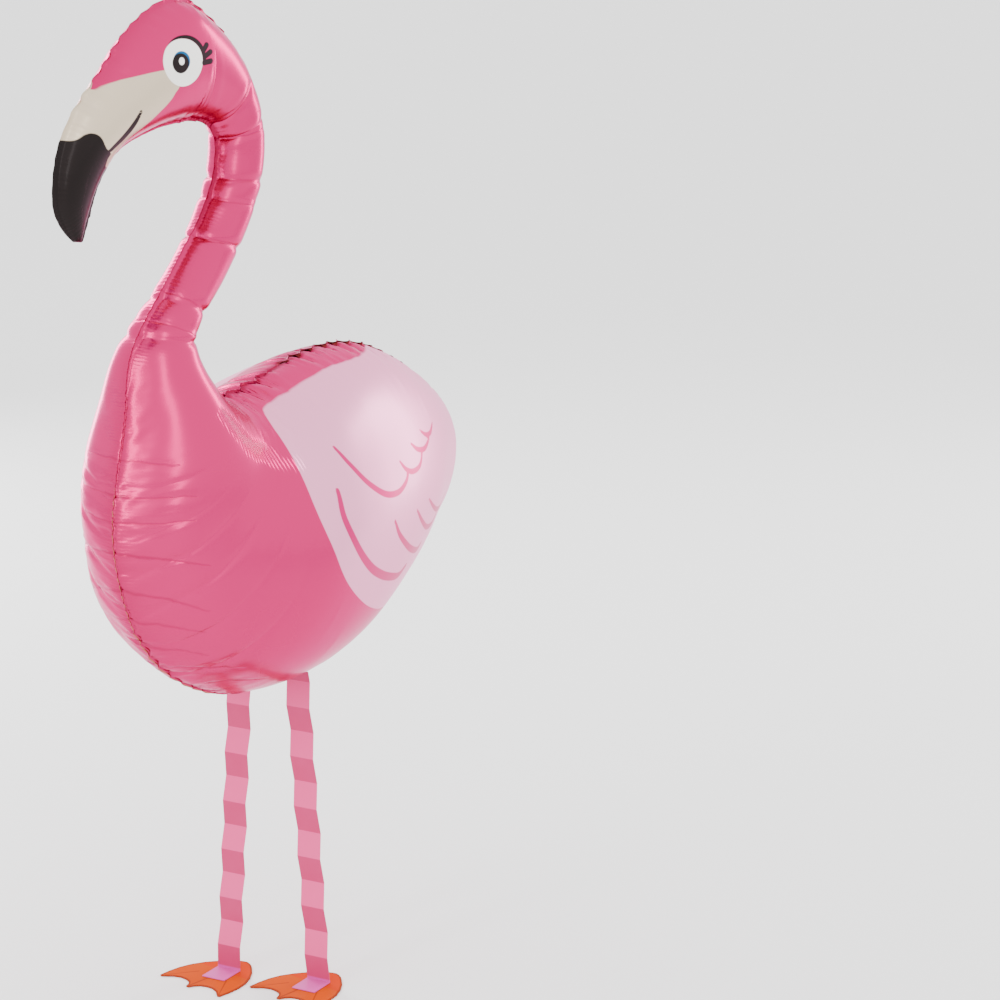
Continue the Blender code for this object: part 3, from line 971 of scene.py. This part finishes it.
class FLAMINGO_OT_film(bpy.types.Operator):
    """Makes the creased film body with its sealed edge and print from the balloon's solid"""

    bl_idname = "flamingo.film"
    bl_label = "Film body"
    bl_options = {"REGISTER", "UNDO"}

    def execute(self, context):
        settings = context.scene.flamingo_film
        random = np.random.default_rng(7)
        film = copy_node("balloon", "film")
        lines = seam_lines(film.data)
        if not lines:
            raise RuntimeError("the balloon's solid shows no sealed edge")
        bpy.ops.object.mode_set(mode="EDIT")
        bpy.ops.mesh.select_all(action="SELECT")
        bpy.ops.mesh.tris_convert_to_quads(face_threshold=1.0, shape_threshold=math.pi)
        bpy.ops.object.mode_set(mode="OBJECT")
        subdivide(film, 2)
        mesh = film.data
        fields = seam_fields(mesh, lines, random)
        put_map(mesh, "print", print_places(points_of(mesh)) / 1000.0)
        put_map(mesh, "seam", np.column_stack([fields[1], fields[0]]))
        put_attribute(mesh, "seam_gap", fields[0])
        settle(mesh)
        pucker(mesh, fields, settings.pucker)
        creases = NECK_CREASES + BACK_CREASES + CROWN_CREASES + CHEST_CREASES
        crease(mesh, creases, fields[0], random)
        inflate(film, fields[0], settings.slack)
        feathers = [curve_through(points) for _, points in FEATHERS]
        refine_near(film, feathers)
        draw_print(mesh, feathers)
        only(film)
        bpy.ops.object.shade_smooth()
        film.data.materials.append(film_material(settings))
        finish_piece(film, "balloon")
        return {"FINISHED"}


class FLAMINGO_OT_legs(bpy.types.Operator):
    """Finishes the folded strip legs in lighter and darker bands, painted light and shade of the folded
    faces
    """

    bl_idname = "flamingo.legs"
    bl_label = "Strip legs"
    bl_options = {"REGISTER", "UNDO"}

    def execute(self, context):
        settings = context.scene.flamingo_legs
        material, tree, shader = new_material("banded_strip")
        x, y, z = object_fields(tree)
        # Painted light and shade: the bands alternate lighter and darker, one band per face of the folded
        # strip
        bands = (z - 0.0019) / settings.pitch
        light = bands.math("MODULO", 2.0) - 1.0
        light = (light * -1.0).inside(0.012)
        fleck = noise_field(tree, 700.0, 2.0)
        cloudy = noise_field(tree, 40.0, 2.0)
        colour = colour_mix(tree, light, settings.dark, settings.light)
        colour = colour_mix(tree, (z - 0.0045).inside(0.0008), colour, settings.tab)
        colour = colour_mix(tree, cloudy * 0.08, colour, (0.9, 0.16, 0.4))
        tree.links.new(colour, shader.inputs["Base Color"])
        shader.inputs["Roughness"].default_value = 0.46
        shader.inputs["Specular IOR Level"].default_value = 0.15
        add_bump(tree, shader, fleck, 0.08, 0.0003)
        for name in ("left_leg", "right_leg"):
            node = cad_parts[name]
            node.data.materials.clear()
            node.data.materials.append(material)
        return {"FINISHED"}


class FLAMINGO_OT_feet(bpy.types.Operator):
    """Makes the webbed card feet with their printed outline and toe lines"""

    bl_idname = "flamingo.feet"
    bl_label = "Card feet"
    bl_options = {"REGISTER", "UNDO"}

    def execute(self, context):
        settings = context.scene.flamingo_feet
        card, tree, shader = new_material("orange_card")
        along, across = map_fields(tree, "card", 1.0)
        lines = spike(along, across, *MIDDLE_RIB, 0.0011, 0.8)
        for side in (-1, 1):
            start, end = [(place[0], place[1] * side) for place in SIDE_RIB]
            lines = lines.least(spike(along, across, start, end, 0.0007, 0.6))
        fleck = noise_field(tree, 900.0, 2.0)
        cloudy = noise_field(tree, 60.0, 2.0)
        # Painted reflection of the pink leg: the card is redder at its heel
        heel = (along - LEG_REFLECTION_TO).inside(0.0008)
        colour = colour_mix(tree, cloudy * 0.20, settings.orange, (0.56, 0.10, 0.0))
        colour = colour_mix(tree, heel * 0.7, colour, (0.50, 0.020, 0.0))
        edge = (attribute_field(tree, "edge_gap") - settings.outline).inside(0.0003)
        colour = colour_mix(tree, lines.inside(0.0004).most(edge), colour, settings.line)
        tree.links.new(colour, shader.inputs["Base Color"])
        shader.inputs["Roughness"].default_value = 0.42
        shader.inputs["Specular IOR Level"].default_value = 0.01
        add_bump(tree, shader, fleck, 0.10, 0.0003)

        for name in ("left_foot", "right_foot"):
            foot = copy_node(name, name + "_card")
            foot.data.materials.append(card)
            outline = self.outline_of(foot)
            low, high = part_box(name)
            bpy.ops.object.mode_set(mode="EDIT")
            bpy.ops.mesh.select_all(action="SELECT")
            bpy.ops.mesh.dissolve_limited(angle_limit=math.radians(2))
            for axis in (0, 1):
                normal = (1.0, 0.0, 0.0) if axis == 0 else (0.0, 1.0, 0.0)
                for at in np.arange(low[axis] + 0.001, high[axis], 0.002):
                    place = (at, 0.0, 0.0) if axis == 0 else (0.0, at, 0.0)
                    bpy.ops.mesh.select_all(action="SELECT")
                    bpy.ops.mesh.bisect(plane_co=place, plane_no=normal)
            bpy.ops.object.mode_set(mode="OBJECT")
            points = points_of(foot.data)
            put_attribute(foot.data, "edge_gap", distance_to_line(points[:, :2], outline))
            put_map(foot.data, "card", self.card_places(points))
            finish_piece(foot, name)
        return {"FINISHED"}

    def outline_of(self, foot):
        """The closed outline of the card's sole, in order."""
        points = points_of(foot.data)
        walls = [face for face in foot.data.polygons if abs(face.normal.z) < 0.5]
        onward = {}
        for face in walls:
            low = [number for number in face.vertices if points[number, 2] < 0.0001]
            for first in low:
                onward.setdefault(first, set()).update(number for number in low if number != first)
        chain = [min(onward)]
        while True:
            ahead = [number for number in onward[chain[-1]] if number not in chain]
            if not ahead:
                break
            chain.append(ahead[0])
        return np.vstack([points[chain, :2], points[chain[:1], :2]])

    def card_places(self, points):
        """Distance from the heel along the foot, and off its middle line."""
        toward = np.array((-math.cos(FOOT_TURN), math.sin(FOOT_TURN)))
        across = np.array((math.sin(FOOT_TURN), math.cos(FOOT_TURN)))
        along = points[:, :2] @ toward
        off = points[:, :2] @ across
        return np.column_stack([along - along.min(), off - (off.min() + off.max()) / 2])


def soft_light(name, place, target, size, power):
    """A soft box that looks at a point."""
    light = bpy.data.lights.new(name, "AREA")
    light.shape = "RECTANGLE"
    light.size = size[0]
    light.size_y = size[1]
    light.energy = power
    box = bpy.data.objects.new(name, light)
    bpy.context.scene.collection.objects.link(box)
    box.location = place
    box.rotation_euler = (Vector(target) - Vector(place)).to_track_quat("-Z", "Y").to_euler()


class FLAMINGO_OT_stage(bpy.types.Operator):
    """Lays the plain floor and sets the lights and the camera"""

    bl_idname = "flamingo.stage"
    bl_label = "Stage"
    bl_options = {"REGISTER", "UNDO"}

    def execute(self, context):
        settings = context.scene.flamingo_stage
        bpy.ops.object.select_all(action="DESELECT")
        bpy.ops.mesh.primitive_plane_add(size=60.0, location=(0.0, 0.0, -0.0002))
        floor = context.object
        floor.name = "floor"
        bpy.ops.object.transform_apply(location=True, rotation=True, scale=True)
        material, tree, shader = new_material("plain_floor")
        cloudy = noise_field(tree, 3.0, 2.0)
        colour = colour_mix(tree, cloudy * 0.05, settings.floor, (0.8, 0.8, 0.8))
        tree.links.new(colour, shader.inputs["Base Color"])
        shader.inputs["Roughness"].default_value = 0.6
        floor.data.materials.append(material)

        world = bpy.data.worlds.new("studio")
        context.scene.world = world
        world.use_nodes = True
        background = world.node_tree.nodes["Background"]
        background.inputs["Color"].default_value = (1.0, 1.0, 1.0, 1.0)
        background.inputs["Strength"].default_value = 2.4
        for light in LIGHTS:
            soft_light(*light)

        camera = bpy.data.cameras.new("camera")
        camera.lens = settings.lens
        camera.sensor_width = 36.0
        eye = bpy.data.objects.new("camera", camera)
        context.scene.collection.objects.link(eye)
        eye.location = CAMERA_PLACE
        level = Vector(CAMERA_TOWARD).normalized()
        look = level * math.cos(CAMERA_DOWN) - Vector((0.0, 0.0, math.sin(CAMERA_DOWN)))
        eye.rotation_euler = look.to_track_quat("-Z", "Y").to_euler()
        context.scene.camera = eye
        return {"FINISHED"}


class FLAMINGO_PT_panel(bpy.types.Panel):
    """Lists the pieces of the bird and its stage"""

    bl_idname = "FLAMINGO_PT_panel"
    bl_label = "Flamingo balloon"
    bl_space_type = "VIEW_3D"
    bl_region_type = "UI"
    bl_category = "Flamingo"

    def draw(self, context):
        for operator, settings in OPERATORS:
            box = self.layout.box()
            box.operator(operator.bl_idname)
            group = getattr(context.scene, settings)
            for name in group.bl_rna.properties.keys():
                if name not in {"rna_type", "name"}:
                    box.prop(group, name)


OPERATORS = (
    (FLAMINGO_OT_film, "flamingo_film"),
    (FLAMINGO_OT_legs, "flamingo_legs"),
    (FLAMINGO_OT_feet, "flamingo_feet"),
    (FLAMINGO_OT_stage, "flamingo_stage"),
)
SETTINGS = (
    ("flamingo_film", FilmSettings),
    ("flamingo_legs", LegSettings),
    ("flamingo_feet", FootSettings),
    ("flamingo_stage", StageSettings),
)


def register():
    """Registers the settings, operators and panel."""
    for name, group in SETTINGS:
        bpy.utils.register_class(group)
        setattr(bpy.types.Scene, name, PointerProperty(type=group))
    for operator, _ in OPERATORS:
        bpy.utils.register_class(operator)
    bpy.utils.register_class(FLAMINGO_PT_panel)


def unregister():
    """Takes the settings, operators and panel away again."""
    bpy.utils.unregister_class(FLAMINGO_PT_panel)
    for operator, _ in reversed(OPERATORS):
        bpy.utils.unregister_class(operator)
    for name, group in reversed(SETTINGS):
        delattr(bpy.types.Scene, name)
        bpy.utils.unregister_class(group)


def main():
    """Makes every piece."""
    register()
    bpy.ops.flamingo.film()
    bpy.ops.flamingo.legs()
    bpy.ops.flamingo.feet()
    bpy.ops.flamingo.stage()


if __name__ == "__main__":
    main()
